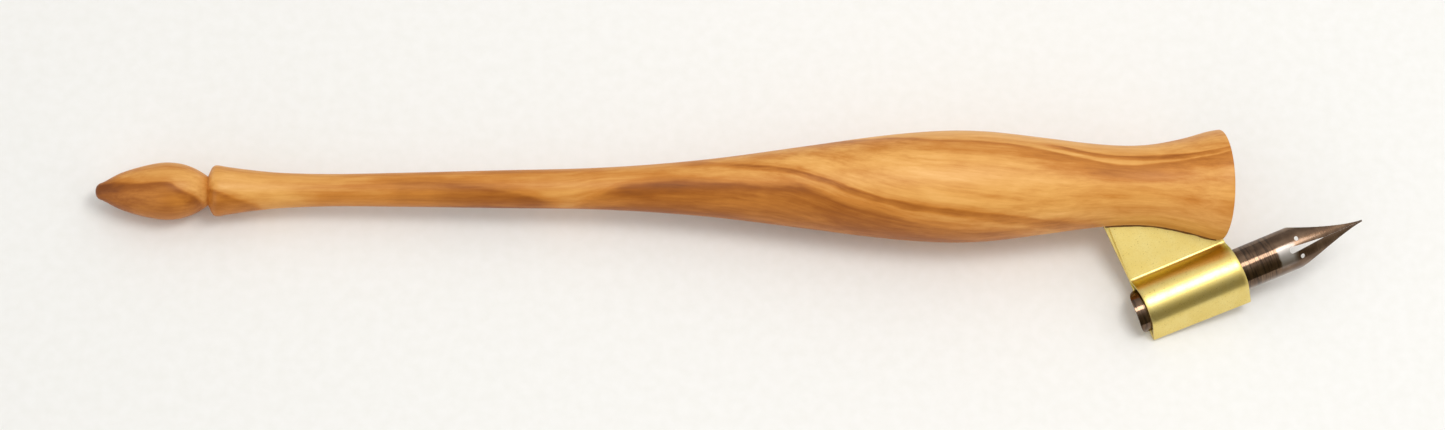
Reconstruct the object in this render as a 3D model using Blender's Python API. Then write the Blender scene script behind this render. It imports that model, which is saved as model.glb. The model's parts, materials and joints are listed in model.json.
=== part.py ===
"""Oblique dip pen holder: a turned wooden holder, a folded brass flange let into its front end, and a
pointed steel nib that the flange grips.

Metres, +Z up. The pen is laid out in its own frame and then set down as it lies on a table:
  pen frame     X runs along the wood towards the nib, with the wood's flat front face at X = 0.
                The flange's web lies in the XY plane, on the -Y side, and the nib's slit faces +Z.
  barrel frame  X runs along the nib, from the middle of the barrel's front rim; +Y points at the wood.
"""

import math

import bmesh
import bpy
from mathutils import Matrix, Vector

MM = 0.001

# Wooden holder: radii where the turned outline changes, in millimetres, from the bud to the front rim.
BUD = [(-134.9, 1.2), (-133.2, 2.1), (-131.0, 2.82), (-129.0, 3.26), (-127.6, 3.38), (-126.0, 3.2),
       (-124.6, 2.72), (-123.5, 2.1), (-122.95, 1.7)]
SHAFT = [(-122.6, 2.5), (-122.35, 2.86), (-121.9, 3.02), (-120.6, 2.8), (-117.8, 2.42), (-114.5, 2.1),
         (-108.5, 1.92), (-100.0, 2.03), (-88.0, 2.27), (-78.5, 2.44), (-70.5, 2.86), (-62.0, 3.63),
         (-52.0, 4.93), (-43.0, 6.12), (-37.5, 6.64), (-33.0, 6.82), (-28.5, 6.63), (-22.0, 5.88),
         (-16.5, 5.2), (-12.0, 4.89), (-8.5, 5.04), (-4.5, 5.76), (-1.6, 6.55), (-0.4, 6.78)]
TAIL_END = -136.0 * MM
RIM_RADIUS = 6.7 * MM
OUTLINE_STEP = 2.2 * MM
TURNS = 36
TAIL_BLUNT = [(0.0, 0.0), (0.12, 0.42), (0.5, 0.84)]
RIM_EASE = (0.1 * MM, 0.07 * MM)

# Brass flange: one strip folded over on itself into two leaves, which part around the nib.
BRASS = 0.4 * MM
LEAF_GAP = 0.05 * MM
BARREL_ANGLE = math.radians(21.5)
BARREL_FRONT = Vector((2.06, -10.60, 0.0)) * MM
BARREL_LENGTH = 12.88 * MM
FRONT_LEAD = 0.07 * MM
REAR_SKEW = 0.012
FRONT_SKEW = 0.05
ROOT_END = 13.0 * MM
LOWER_LEAF_TURN = 0.062
FOLD_LINE = 4.2 * MM
SIDE_ARCH_RADIUS = 3.85 * MM
RISER_ANGLE = math.radians(65)
RISER_FILLET = 0.7 * MM
LIP_ANGLE_REAR = math.radians(48.5)
LIP_ANGLE_FRONT = math.radians(44)
HAIRPIN_RADIUS = 0.26 * MM
TONGUE_ANGLE = math.radians(75)
TONGUE_FILLET = 0.4 * MM
NIB_CENTRE_Z = -0.1 * MM

# Steel nib: a rolled shank, then a blade that narrows to the point and is split by a slit.
NIB_RADIUS = 2.72 * MM
NIB_STEEL = 0.2 * MM
NIB_PLAY = 0.05 * MM
NIB_HALF_ARC = math.radians(80)
NIB_REAR = -14.25 * MM
NIB_SHOULDER = 7.7 * MM
NIB_TIP = 16.66 * MM
TIP_HALF_WIDTH = 0.11 * MM
TIP_RADIUS = 1.1 * MM
TIP_DROOP = 0.9 * MM
BLADE_TAPER = 1.4
BLADE_ROLL_TAPER = 1.5
TIP_DROOP_CURVE = 1.6
REAR_CORNER = 1.1 * MM
REAR_CORNER_POWER = 4
NIB_SHANK_ROWS = 14
SHANK_ROW_SPREAD = 1.3
NIB_BLADE_ROWS = 16
NIB_COLUMNS = 14
NIB_CORNER_ROWS = 4
SLIT_WIDTH = 0.06 * MM
VENT_CENTRE = 6.9 * MM
VENT_RADIUS = 0.42 * MM
VENT_END = 11.2 * MM
SIDE_HOLE = (7.9 * MM, 1.15 * MM)
SIDE_HOLE_RADIUS = 0.28 * MM
PUNCH_REACH = 5 * MM

# Saw kerf that takes the flange, and the glue that fills what the flange leaves of it.
KERF_WIDTH = 1.05 * MM
KERF_DEPTH = 16.2 * MM
KERF_TOP = 1.6 * MM
KERF_REACH = 12 * MM
GLUE_GAP = 0.05 * MM
GLUE_CLEARANCE = 0.1 * MM
GLUE_REAR_DEPTH = 4.9 * MM
GLUE_REAR_LINE = 11.48 * MM
GLUE_FRONT_LINE = 5.6 * MM


def clear_scene():
    for obj in list(bpy.data.objects):
        bpy.data.objects.remove(obj, do_unlink=True)


def add_object(name, mesh, parent, material):
    obj = bpy.data.objects.new(name, mesh)
    obj.parent = parent
    obj.data.materials.append(material)
    bpy.context.scene.collection.objects.link(obj)
    return obj


def add_empty(name, parent, location=(0, 0, 0), rotation=(0, 0, 0)):
    empty = bpy.data.objects.new(name, None)
    empty.parent = parent
    empty.location = location
    empty.rotation_euler = rotation
    bpy.context.scene.collection.objects.link(empty)
    return empty


def make_material(name, colour, roughness, metallic):
    material = bpy.data.materials.new(name)
    material.use_nodes = True
    shader = material.node_tree.nodes["Principled BSDF"]
    shader.inputs["Base Color"].default_value = (*colour, 1.0)
    shader.inputs["Roughness"].default_value = roughness
    shader.inputs["Metallic"].default_value = metallic
    return material


def mesh_from(name, points, faces, smooth_angle=None):
    mesh = bpy.data.meshes.new(name)
    mesh.from_pydata(points, [], faces)
    if smooth_angle is not None:
        mesh.shade_smooth()
        mesh.set_sharp_from_angle(angle=smooth_angle)
    return mesh


def cut(obj, cutter, name):
    """Subtracts the cutter from the object and keeps the cutter out of the model."""
    cutter.hide_render = True
    cutter.display_type = "WIRE"
    boolean = obj.modifiers.new(name, "BOOLEAN")
    boolean.operation = "DIFFERENCE"
    boolean.object = cutter


def prism(name, outline, low, high):
    """A flat outline in XY, given anticlockwise, raised from low to high."""
    count = len(outline)
    points = [(x, y, z) for z in (low, high) for x, y in outline]
    sides = [(i, (i + 1) % count, (i + 1) % count + count, i + count) for i in range(count)]
    return mesh_from(name, points, [tuple(reversed(range(count))), tuple(range(count, 2 * count)), *sides])


# ---------------------------------------------------------------- wooden holder


def smooth_outline(stations):
    """Points on a smooth curve through the stations, no further apart than OUTLINE_STEP."""
    knots = [(x * MM, r * MM) for x, r in stations]

    def slope(i):
        low, high = knots[max(i - 1, 0)], knots[min(i + 1, len(knots) - 1)]
        return (high[1] - low[1]) / (high[0] - low[0])

    points = []
    for i in range(len(knots) - 1):
        (x0, r0), (x1, r1) = knots[i], knots[i + 1]
        span = x1 - x0
        steps = max(1, math.ceil(span / OUTLINE_STEP))
        for k in range(steps):
            u = k / steps
            points.append((
                x0 + span * u,
                (2 * u**3 - 3 * u**2 + 1) * r0 + (u**3 - 2 * u**2 + u) * span * slope(i)
                + (3 * u**2 - 2 * u**3) * r1 + (u**3 - u**2) * span * slope(i + 1),
            ))
    return points + [knots[-1]]


def holder_outline():
    """(x, radius) from the tail's point to the centre of the front face."""
    bud, shaft = smooth_outline(BUD), smooth_outline(SHAFT)
    blunt = [(TAIL_END + x * MM, r * MM) for x, r in TAIL_BLUNT]
    back, wider = RIM_EASE
    return blunt + bud + shaft + [(-back, RIM_RADIUS + wider), (0.0, RIM_RADIUS), (0.0, 0.0)]


def holder_mesh():
    """The outline turned once round the pen's axis, as on a lathe."""
    form = bmesh.new()
    verts = [form.verts.new((x, r, 0)) for x, r in holder_outline()]
    edges = [form.edges.new(pair) for pair in zip(verts, verts[1:])]
    bmesh.ops.spin(form, geom=verts + edges, cent=(0, 0, 0), axis=(1, 0, 0), angle=math.tau, steps=TURNS)
    bmesh.ops.remove_doubles(form, verts=form.verts, dist=MM / 1000)
    bmesh.ops.recalc_face_normals(form, faces=form.faces)
    mesh = bpy.data.meshes.new("holder")
    form.to_mesh(mesh)
    form.free()
    mesh.shade_smooth()
    mesh.set_sharp_from_angle(angle=math.radians(40))
    return mesh


def kerf_mesh():
    outline = [(-KERF_DEPTH, -KERF_REACH), (MM, -KERF_REACH), (MM, KERF_TOP), (-KERF_DEPTH, KERF_TOP)]
    return prism("kerf", outline, -KERF_WIDTH / 2, KERF_WIDTH / 2)


# ---------------------------------------------------------------- brass flange


def arc(centre, radius, start, end, steps):
    """Points from start to end, angles taken from straight up towards +Y."""
    return [
        (centre[0] + radius * math.sin(start + (end - start) * k / steps),
         centre[1] + radius * math.cos(start + (end - start) * k / steps))
        for k in range(steps + 1)
    ]


def foot_of(centre_z, radius, level, angle, fillet):
    """How far out an arch that comes down at this angle has turned flat at this level."""
    foot = Vector((radius * math.sin(angle), centre_z + radius * math.cos(angle)))
    corner = foot.x + (foot.y - level) / math.tan(angle)
    return corner + fillet * math.tan(angle / 2)


def flange_section(lip_angle):
    """The strip's middle line across the barrel, (y, z), from the upper leaf's end to the lower's."""
    upper, lower = (BRASS + LEAF_GAP) / 2, -(BRASS + LEAF_GAP) / 2
    arch = NIB_RADIUS + NIB_PLAY + BRASS / 2
    tongue = NIB_RADIUS - NIB_STEEL - NIB_PLAY - BRASS / 2
    side = SIDE_ARCH_RADIUS
    side_z = NIB_CENTRE_Z + arch - side
    fold = foot_of(side_z, side, upper, RISER_ANGLE, RISER_FILLET)
    toe = foot_of(NIB_CENTRE_Z, tongue, lower, TONGUE_ANGLE, TONGUE_FILLET)
    lip_start = Vector((-arch * math.sin(lip_angle), NIB_CENTRE_Z + arch * math.cos(lip_angle)))
    turn_z = lower + HAIRPIN_RADIUS
    lip_drop = lip_start.y - turn_z - HAIRPIN_RADIUS * math.cos(lip_angle)
    turn_y = lip_start.x - lip_drop / math.tan(lip_angle) + HAIRPIN_RADIUS * math.sin(lip_angle)

    line = [(ROOT_END, upper)]
    line += arc((fold, upper + RISER_FILLET), RISER_FILLET, math.pi, math.pi + RISER_ANGLE, 7)
    line += arc((0, side_z), side, RISER_ANGLE, 0, 10)[:-1]
    line += arc((0, NIB_CENTRE_Z), arch, 0, -lip_angle, 9)
    line += arc((turn_y, turn_z), HAIRPIN_RADIUS, -lip_angle, -math.pi, 8)
    line += arc((-toe, lower + TONGUE_FILLET), TONGUE_FILLET, math.pi, math.pi - TONGUE_ANGLE, 4)
    line += arc((0, NIB_CENTRE_Z), tongue, -TONGUE_ANGLE, TONGUE_ANGLE, 16)
    line += arc((toe, lower + TONGUE_FILLET), TONGUE_FILLET, math.pi + TONGUE_ANGLE, math.pi, 4)
    return line + [(FOLD_LINE, lower), (ROOT_END, lower)]


def strip_rear(y, below):
    turned = LOWER_LEAF_TURN * max(y - FOLD_LINE, 0) if below else 0
    return -BARREL_LENGTH - REAR_SKEW * y - turned


def strip_front(y):
    return FRONT_LEAD - FRONT_SKEW * y


def flange_mesh():
    rear, front = flange_section(LIP_ANGLE_REAR), flange_section(LIP_ANGLE_FRONT)
    points = [(strip_rear(y, z < 0), y, z) for y, z in rear] + [(strip_front(y), y, z) for y, z in front]
    count = len(rear)
    faces = [(i, i + 1, count + i + 1, count + i) for i in range(count - 1)]
    return mesh_from("flange", points, faces, math.radians(35))


# ---------------------------------------------------------------- glue in the kerf


def glue_mesh(barrel_to_pen):
    """Fills the kerf round the flange's root: behind it, over its end, and in front up to the face."""
    def pen(x, y):
        point = barrel_to_pen @ Vector((x, y, 0))
        return point.x, point.y

    away = GLUE_CLEARANCE
    top = KERF_TOP - GLUE_GAP
    back = -KERF_DEPTH + GLUE_GAP
    front = -GLUE_GAP
    outline = [
        (back, -GLUE_REAR_DEPTH),
        pen(strip_rear(GLUE_REAR_LINE, True) - away, GLUE_REAR_LINE),
        pen(strip_rear(ROOT_END, True) - away, ROOT_END + away),
        pen(strip_front(ROOT_END) + away, ROOT_END + away),
        pen(strip_front(GLUE_FRONT_LINE) + away, GLUE_FRONT_LINE),
        (front, pen(0, GLUE_FRONT_LINE)[1]),
        (front, top),
        (back, top),
    ]
    return prism("glue", outline, -KERF_WIDTH / 2 + GLUE_GAP, KERF_WIDTH / 2 - GLUE_GAP)


# ---------------------------------------------------------------- steel nib


def blade_share(x):
    """0 on the shank, 1 at the point."""
    return max(0.0, (x - NIB_SHOULDER) / (NIB_TIP - NIB_SHOULDER))


def nib_mesh():
    shank_width = NIB_RADIUS * math.sin(NIB_HALF_ARC)
    shank, blade = NIB_SHOULDER - NIB_REAR, NIB_TIP - NIB_SHOULDER
    stations = [
        NIB_REAR + shank * (i / NIB_SHANK_ROWS) ** SHANK_ROW_SPREAD for i in range(NIB_SHANK_ROWS + 1)
    ]
    stations += [NIB_SHOULDER + blade * (i + 1) / NIB_BLADE_ROWS for i in range(NIB_BLADE_ROWS)]
    points = []
    for i, station in enumerate(stations):
        share = blade_share(station)
        radius = NIB_RADIUS + (TIP_RADIUS - NIB_RADIUS) * share**BLADE_ROLL_TAPER
        width = TIP_HALF_WIDTH + (shank_width - TIP_HALF_WIDTH) * (1 - share) ** BLADE_TAPER
        half_arc = min(NIB_HALF_ARC, math.asin(min(1.0, width / radius)))
        crown = NIB_CENTRE_Z + NIB_RADIUS - NIB_STEEL / 2 - TIP_DROOP * share**TIP_DROOP_CURVE
        middle = radius - NIB_STEEL / 2
        corner = REAR_CORNER * max(0.0, 1 - i / NIB_CORNER_ROWS)
        for k in range(NIB_COLUMNS + 1):
            side = 2 * k / NIB_COLUMNS - 1
            angle = side * half_arc
            x = station + corner * abs(side) ** REAR_CORNER_POWER
            points.append((x, middle * math.sin(angle), crown - middle * (1 - math.cos(angle))))
    row = NIB_COLUMNS + 1
    faces = [(i * row + k, (i + 1) * row + k, (i + 1) * row + k + 1, i * row + k + 1)
             for i in range(len(stations) - 1) for k in range(NIB_COLUMNS)]
    return mesh_from("nib", points, faces, math.radians(35))


def vent_outline():
    """A teardrop that runs out into the slit and past the point."""
    half_slit = SLIT_WIDTH / 2
    rounding = [
        (VENT_CENTRE + VENT_RADIUS * math.cos(a), VENT_RADIUS * math.sin(a))
        for a in (math.radians(100 + 160 * k / 10) for k in range(11))
    ]
    past = NIB_TIP + MM
    return rounding + [(VENT_END, -half_slit), (past, -half_slit), (past, half_slit), (VENT_END, half_slit)]


def round_outline(x, y, radius):
    return [(x + radius * math.cos(math.tau * k / 12), y + radius * math.sin(math.tau * k / 12))
            for k in range(12)]


# ---------------------------------------------------------------- how the pen lies on a table


def world_points(obj):
    evaluated = obj.evaluated_get(bpy.context.evaluated_depsgraph_get())
    return [evaluated.matrix_world @ vertex.co for vertex in evaluated.data.vertices]


def resting_turn(groups):
    """The turn that lays the pen on three points, one from each group: bud, swell and flange."""
    turn = Matrix.Identity(3)
    for _ in range(6):
        a, b, c = (min(group, key=lambda p: (turn @ p).z) for group in groups)
        up = (b - a).cross(c - a)
        up = up if up.z > 0 else -up
        roll = math.atan2(up.y, up.z)
        pitch = -math.atan2(up.x, math.hypot(up.y, up.z))
        turn = Matrix.Rotation(pitch, 3, "Y") @ Matrix.Rotation(roll, 3, "X")
    return turn


def lay_down(rest, pieces):
    bpy.context.view_layer.update()
    wood, brass = world_points(pieces[0]), world_points(pieces[1])
    bud = [p for p in wood if p.x < -123 * MM]
    swell = [p for p in wood if -50 * MM < p.x < -20 * MM]
    turn = resting_turn((bud, swell, brass))
    every = [turn @ p for piece in pieces for p in world_points(piece)]
    low = [min(p[i] for p in every) for i in range(3)]
    high = [max(p[i] for p in every) for i in range(3)]
    rest.rotation_euler = turn.to_euler()
    rest.location = (-(low[0] + high[0]) / 2, -(low[1] + high[1]) / 2, -low[2])
    bpy.context.view_layer.update()


def build():
    clear_scene()
    olive = make_material("olive_wood", (0.62, 0.33, 0.12), 0.42, 0.0)
    brass = make_material("satin_brass", (0.80, 0.62, 0.24), 0.30, 1.0)
    steel = make_material("bronzed_steel", (0.24, 0.19, 0.15), 0.32, 1.0)
    resin = make_material("brown_glue", (0.16, 0.08, 0.03), 0.5, 0.0)

    rest = add_empty("pen_at_rest", None)
    barrel = add_empty("barrel_frame", rest, BARREL_FRONT, (0, 0, BARREL_ANGLE))
    barrel_to_pen = Matrix.Translation(BARREL_FRONT) @ Matrix.Rotation(BARREL_ANGLE, 4, "Z")

    holder = add_object("holder", holder_mesh(), rest, olive)
    cut(holder, add_object("kerf", kerf_mesh(), rest, olive), "kerf")

    flange = add_object("flange", flange_mesh(), barrel, brass)
    sheet = flange.modifiers.new("brass_sheet", "SOLIDIFY")
    sheet.thickness, sheet.offset, sheet.use_even_offset = BRASS, 0.0, True

    glue = add_object("flange_glue", glue_mesh(barrel_to_pen), rest, resin)

    nib = add_object("nib", nib_mesh(), barrel, steel)
    sheet = nib.modifiers.new("steel_sheet", "SOLIDIFY")
    sheet.thickness, sheet.offset, sheet.use_even_offset = NIB_STEEL, 0.0, True
    low, high = -PUNCH_REACH, PUNCH_REACH
    cut(nib, add_object("vent", prism("vent", vent_outline(), low, high), barrel, steel), "vent")
    for side, name in ((-1, "side_hole_right"), (1, "side_hole_left")):
        outline = round_outline(SIDE_HOLE[0], side * SIDE_HOLE[1], SIDE_HOLE_RADIUS)
        cut(nib, add_object(name, prism(name, outline, low, high), barrel, steel), name)

    lay_down(rest, (holder, flange, glue, nib))


build()
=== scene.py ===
import json
import math

import bpy
from mathutils import Matrix, Vector


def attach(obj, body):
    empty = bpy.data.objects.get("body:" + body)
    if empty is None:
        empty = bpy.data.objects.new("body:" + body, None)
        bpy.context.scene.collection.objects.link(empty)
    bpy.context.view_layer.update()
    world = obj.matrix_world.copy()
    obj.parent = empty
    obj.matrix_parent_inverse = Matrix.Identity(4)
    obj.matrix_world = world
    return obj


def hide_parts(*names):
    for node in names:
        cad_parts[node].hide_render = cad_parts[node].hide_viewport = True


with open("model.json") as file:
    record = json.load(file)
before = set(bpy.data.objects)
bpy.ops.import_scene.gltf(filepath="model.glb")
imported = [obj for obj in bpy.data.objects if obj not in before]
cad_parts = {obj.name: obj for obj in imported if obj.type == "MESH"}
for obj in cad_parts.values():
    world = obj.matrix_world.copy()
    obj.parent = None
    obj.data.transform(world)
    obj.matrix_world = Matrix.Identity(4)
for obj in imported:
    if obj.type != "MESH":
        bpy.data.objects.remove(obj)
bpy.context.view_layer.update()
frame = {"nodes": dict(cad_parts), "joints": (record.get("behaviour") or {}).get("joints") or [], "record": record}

MM = 0.001

# ---------------------------------------------------------------- how the pen lies
# The pen lies on its bud, its swell and the brass flange's outer corner. The wood's front face gives its
# axis, the nib's slide gives the barrel's, and both lie in the plane of the brass web.

face = frame["record"]["mounts"][0]
wood_axis = Vector(face["axis"]).normalized()
barrel_axis = Vector(frame["joints"][0]["axis"]).normalized()
web_normal = wood_axis.cross(barrel_axis).normalized()
FACE_POINT_UP = 4.0 * MM
BARREL_FRONT = Vector((2.06, -10.60, 0.0)) * MM


def placed(origin, along, normal):
    """The frame with X along, Z along the normal, and its zero at the origin."""
    turn = Matrix((along, normal.cross(along), normal)).transposed().to_4x4()
    return Matrix.Translation(origin) @ turn


pen = placed(Vector(face["pos_m"]) - FACE_POINT_UP * web_normal.cross(wood_axis), wood_axis, web_normal)
barrel = placed(pen @ BARREL_FRONT, barrel_axis, web_normal)


# ---------------------------------------------------------------- wooden holder
# One stick of olive wood, turned between centres: bud, V groove, thin tail, swell, waist and flare. It is
# sanded fine and wiped with oil, and a saw kerf in its front end takes the brass.

BUD = [(-134.9, 1.2), (-133.2, 2.1), (-131.0, 2.82), (-129.0, 3.26), (-127.6, 3.38), (-126.0, 3.2),
       (-124.6, 2.72), (-123.5, 2.1), (-122.95, 1.7)]
SHAFT = [(-122.6, 2.5), (-122.35, 2.86), (-121.9, 3.02), (-120.6, 2.8), (-117.8, 2.42), (-114.5, 2.1),
         (-108.5, 1.92), (-100.0, 2.03), (-88.0, 2.27), (-78.5, 2.44), (-70.5, 2.86), (-62.0, 3.63),
         (-52.0, 4.93), (-43.0, 6.12), (-37.5, 6.64), (-33.0, 6.82), (-28.5, 6.63), (-22.0, 5.88),
         (-16.5, 5.2), (-12.0, 4.89), (-8.5, 5.04), (-4.5, 5.76), (-1.6, 6.55), (-0.45, 6.77)]
TAIL_END = -136.0
TAIL_BLUNT = 0.95
RIM_ROUND = 0.1
TURNING_STEP = 0.35
FACETS = 128
KERF_WIDTH = 1.05 * MM
KERF_DEPTH = 16.2 * MM
KERF_TOP = 1.6 * MM
KERF_REACH = 12 * MM


def turned_curve(stations):
    """Points on the smooth curve through the stations, TURNING_STEP apart, in millimetres."""
    def slope(i):
        low, high = stations[max(i - 1, 0)], stations[min(i + 1, len(stations) - 1)]
        return (high[1] - low[1]) / (high[0] - low[0])

    points = []
    for i, ((x0, r0), (x1, r1)) in enumerate(zip(stations, stations[1:])):
        span = x1 - x0
        steps = max(2, math.ceil(span / TURNING_STEP))
        for u in (k / steps for k in range(steps)):
            points.append((x0 + span * u,
                           (2 * u**3 - 3 * u**2 + 1) * r0 + (u**3 - 2 * u**2 + u) * span * slope(i)
                           + (3 * u**2 - 2 * u**3) * r1 + (u**3 - u**2) * span * slope(i + 1)))
    return points + [stations[-1]]


def turned_outline():
    """(x, radius) in metres, from the tail's blunt end to the rim of the front face."""
    nose = [(TAIL_END + TAIL_BLUNT * (1 - math.cos(a)), 1.05 * math.sin(a) ** 0.8)
            for a in (math.radians(6 + 12 * k) for k in range(7))]
    rim = [(-RIM_ROUND * (1 - math.sin(a)), SHAFT[-1][1] + 0.04 - RIM_ROUND * (1 - math.cos(a)))
           for a in (math.radians(15 * k) for k in range(7))]
    return [(x * MM, r * MM) for x, r in nose + turned_curve(BUD) + turned_curve(SHAFT) + rim]


def wood_radius(x):
    """The wood's radius at x along the pen, in metres."""
    for (x0, r0), (x1, r1) in zip(OUTLINE, OUTLINE[1:]):
        if x0 <= x <= x1:
            return r0 + (r1 - r0) * (x - x0) / max(x1 - x0, 1e-9)
    return 0.0


OUTLINE = turned_outline()


def new_piece(name, mesh):
    piece = bpy.data.objects.new(name, mesh)
    bpy.context.scene.collection.objects.link(piece)
    return piece


def settle(piece, place, sharp_angle):
    """Turns a piece's modifiers into plain mesh and its place into the mesh's own points, shaded smooth."""
    bpy.context.view_layer.update()
    mesh = bpy.data.meshes.new_from_object(piece.evaluated_get(bpy.context.evaluated_depsgraph_get()))
    piece.modifiers.clear()
    piece.data = mesh
    mesh.transform(place)
    mesh.shade_smooth()
    mesh.set_sharp_from_angle(angle=math.radians(sharp_angle))
    return piece


def slab(name, outline, low, high):
    """A flat outline in XY, given anticlockwise, raised from low to high."""
    count = len(outline)
    points = [(x, y, z) for z in (low, high) for x, y in outline]
    sides = [(i, (i + 1) % count, (i + 1) % count + count, i + count) for i in range(count)]
    mesh = bpy.data.meshes.new(name)
    mesh.from_pydata(points, [], [tuple(reversed(range(count))), tuple(range(count, 2 * count)), *sides])
    return new_piece(name, mesh)


def cut(piece, *cutters):
    for cutter in cutters:
        boolean = piece.modifiers.new(cutter.name, "BOOLEAN")
        boolean.operation, boolean.object, boolean.solver = "DIFFERENCE", cutter, "EXACT"


def add_node(tree, kind, sockets=None, **settings):
    """Adds a node. Sockets holds a value or a node's output for each input; settings are its own fields."""
    added = tree.nodes.new(kind)
    for key, value in settings.items():
        if key == "stops":
            while len(added.color_ramp.elements) < len(value):
                added.color_ramp.elements.new(1.0)
            for stop, (place, colour) in zip(added.color_ramp.elements, value):
                stop.position = place
                stop.color = colour if hasattr(colour, "__len__") else (colour, colour, colour, 1)
        elif key == "points":
            curve = added.mapping.curves[0]
            while len(curve.points) < len(value):
                curve.points.new(0.5, 0.5)
            for point, place in zip(curve.points, value):
                point.location = place
            added.mapping.extend = "HORIZONTAL"
            added.mapping.update()
        elif key == "ramp":
            added.color_ramp.interpolation = value
        else:
            setattr(added, key, value)
    for socket, value in (sockets or {}).items():
        if isinstance(value, bpy.types.NodeSocket):
            tree.links.new(value, added.inputs[socket])
        else:
            added.inputs[socket].default_value = value
    return added


def colour(code):
    """An sRGB hex value as linear red, green, blue and alpha."""
    parts = [int(code[i:i + 2], 16) / 255 for i in (1, 3, 5)]
    return (*[c / 12.92 if c <= 0.04045 else ((c + 0.055) / 1.055) ** 2.4 for c in parts], 1.0)


# Places in the grain are told in a square that runs along the wood's length and a little past its width.
GRAIN_START, GRAIN_LENGTH = -138.0, 140.0
GRAIN_WIDTH = 16.0
GRAIN_TILT = 0.22

# Each streak of the grain: where its sheet comes out on the wood's upper side (x, y in mm), how dark it is
# across itself (mm above or below its line), and how strong it is along the wood (x in mm).
STREAKS = {
    "upper_band": ([(-62, 4.9), (-50, 5.5), (-40, 6), (-35.8, 5.7), (-31, 5.5), (-26.5, 5), (-21.7, 4),
                    (-17, 3), (-14.5, 2.5), (-12.3, 2.4), (-8.7, 2.7), (-5.2, 3.2), (-1.8, 3.8), (2, 4.2)],
                   [(-4.2, 0), (-2.9, 0.1), (-1.7, 0.32), (-0.9, 0.46), (-0.25, 0.7), (0.15, 0)],
                   [(-66, 0), (-56, 0.5), (-40, 0.75), (-20, 0.85), (-8, 0.65), (2, 0.6)]),
    "hair_line": ([(-26, 5.4), (-21.5, 4.8), (-18, 4.1), (-14.4, 3.6), (-12.1, 3.4), (-8.5, 3.5), (-5, 3.8),
                   (-1.7, 4.3), (2, 4.6)],
                  [(-0.75, 0), (-0.3, 0.6), (0, 0.75), (0.3, 0)],
                  [(-25, 0), (-19, 0.9), (-6, 0.9), (0, 0.6)]),
    "thin_streak": ([(-80, 2.2), (-72, 2.9), (-67.7, 3), (-58.2, 2.7), (-50.7, 1.1), (-46.7, -0.3),
                     (-39.7, -2.1), (-34.1, -3), (-28.9, -3.7), (-20.9, -4.5), (-16, -5), (0, -6.5)],
                    [(-0.9, 0), (-0.25, 0.7), (0, 0.85), (0.3, 0.3), (1.0, 0)],
                    [(-72, 0), (-64, 0.45), (-57, 0.8), (-36, 0.85), (-18, 0.6), (-8, 0)]),
    "lower_dark": ([(-80, -2.2), (-77, -0.8), (-74, 0.5), (-70.2, 1.1), (-66.4, 1.3), (-62.6, 1), (-57, 0.5),
                    (-53.5, 0.3), (-50.7, -0.6), (-46.6, -2.1), (-42.4, -3), (-38.2, -4.2), (-32.5, -5),
                    (-28.5, -5.3), (-16, -6.6), (0, -8)],
                   [(-8, 0.74), (-1.8, 0.74), (-0.5, 0.77), (0.1, 0.38), (0.5, 0.12), (1.3, 0)],
                   [(-85, 0), (-78, 0.5), (-71, 0.9), (-40, 0.95), (-22, 0.8), (-10, 0)]),
    "tail_wedge": ([(-108, 1.9), (-100.5, 1.2), (-93, 0.6), (-88, -0.1), (-83.3, -1.3), (-80, -2.4)],
                   [(-8, 0.74), (-1.2, 0.72), (-0.35, 0.76), (0.2, 0.36), (1.0, 0.1), (1.8, 0)],
                   [(-106, 0), (-99, 0.5), (-90, 0.9), (-85, 0.9), (-79, 0)]),
    "tail_shade": ([(-116, 0.2), (-108, 0.6), (-100, 1)],
                   [(-8, 0.35), (-0.6, 0.35), (0.6, 0)],
                   [(-116, 0), (-109, 0.9), (-100, 0.6), (-96, 0)]),
    "shoulder_patch": ([(-124, 0.6), (-122.7, 0.1), (-121, -0.5), (-118.1, -1.5), (-115, -2.4)],
                       [(-8, 0.5), (-0.8, 0.55), (-0.2, 0.7), (0.3, 0.25), (1.0, 0)],
                       [(-123.4, 0), (-122.8, 1.0), (-118, 0.9), (-116, 0)]),
    "bud_streak": ([(-136, 0.6), (-135.1, 0.8), (-132.9, 1), (-130.4, 1.1), (-128, 1.1), (-126.3, 0.2),
                    (-124.7, -0.6), (-122, -1.6)],
                   [(-8, 0.58), (-1.6, 0.5), (-0.3, 0.82), (0.25, 0.26), (1.2, 0.05), (3, 0)],
                   [(-136, 1), (-124, 1), (-123.2, 0)]),
}


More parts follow.
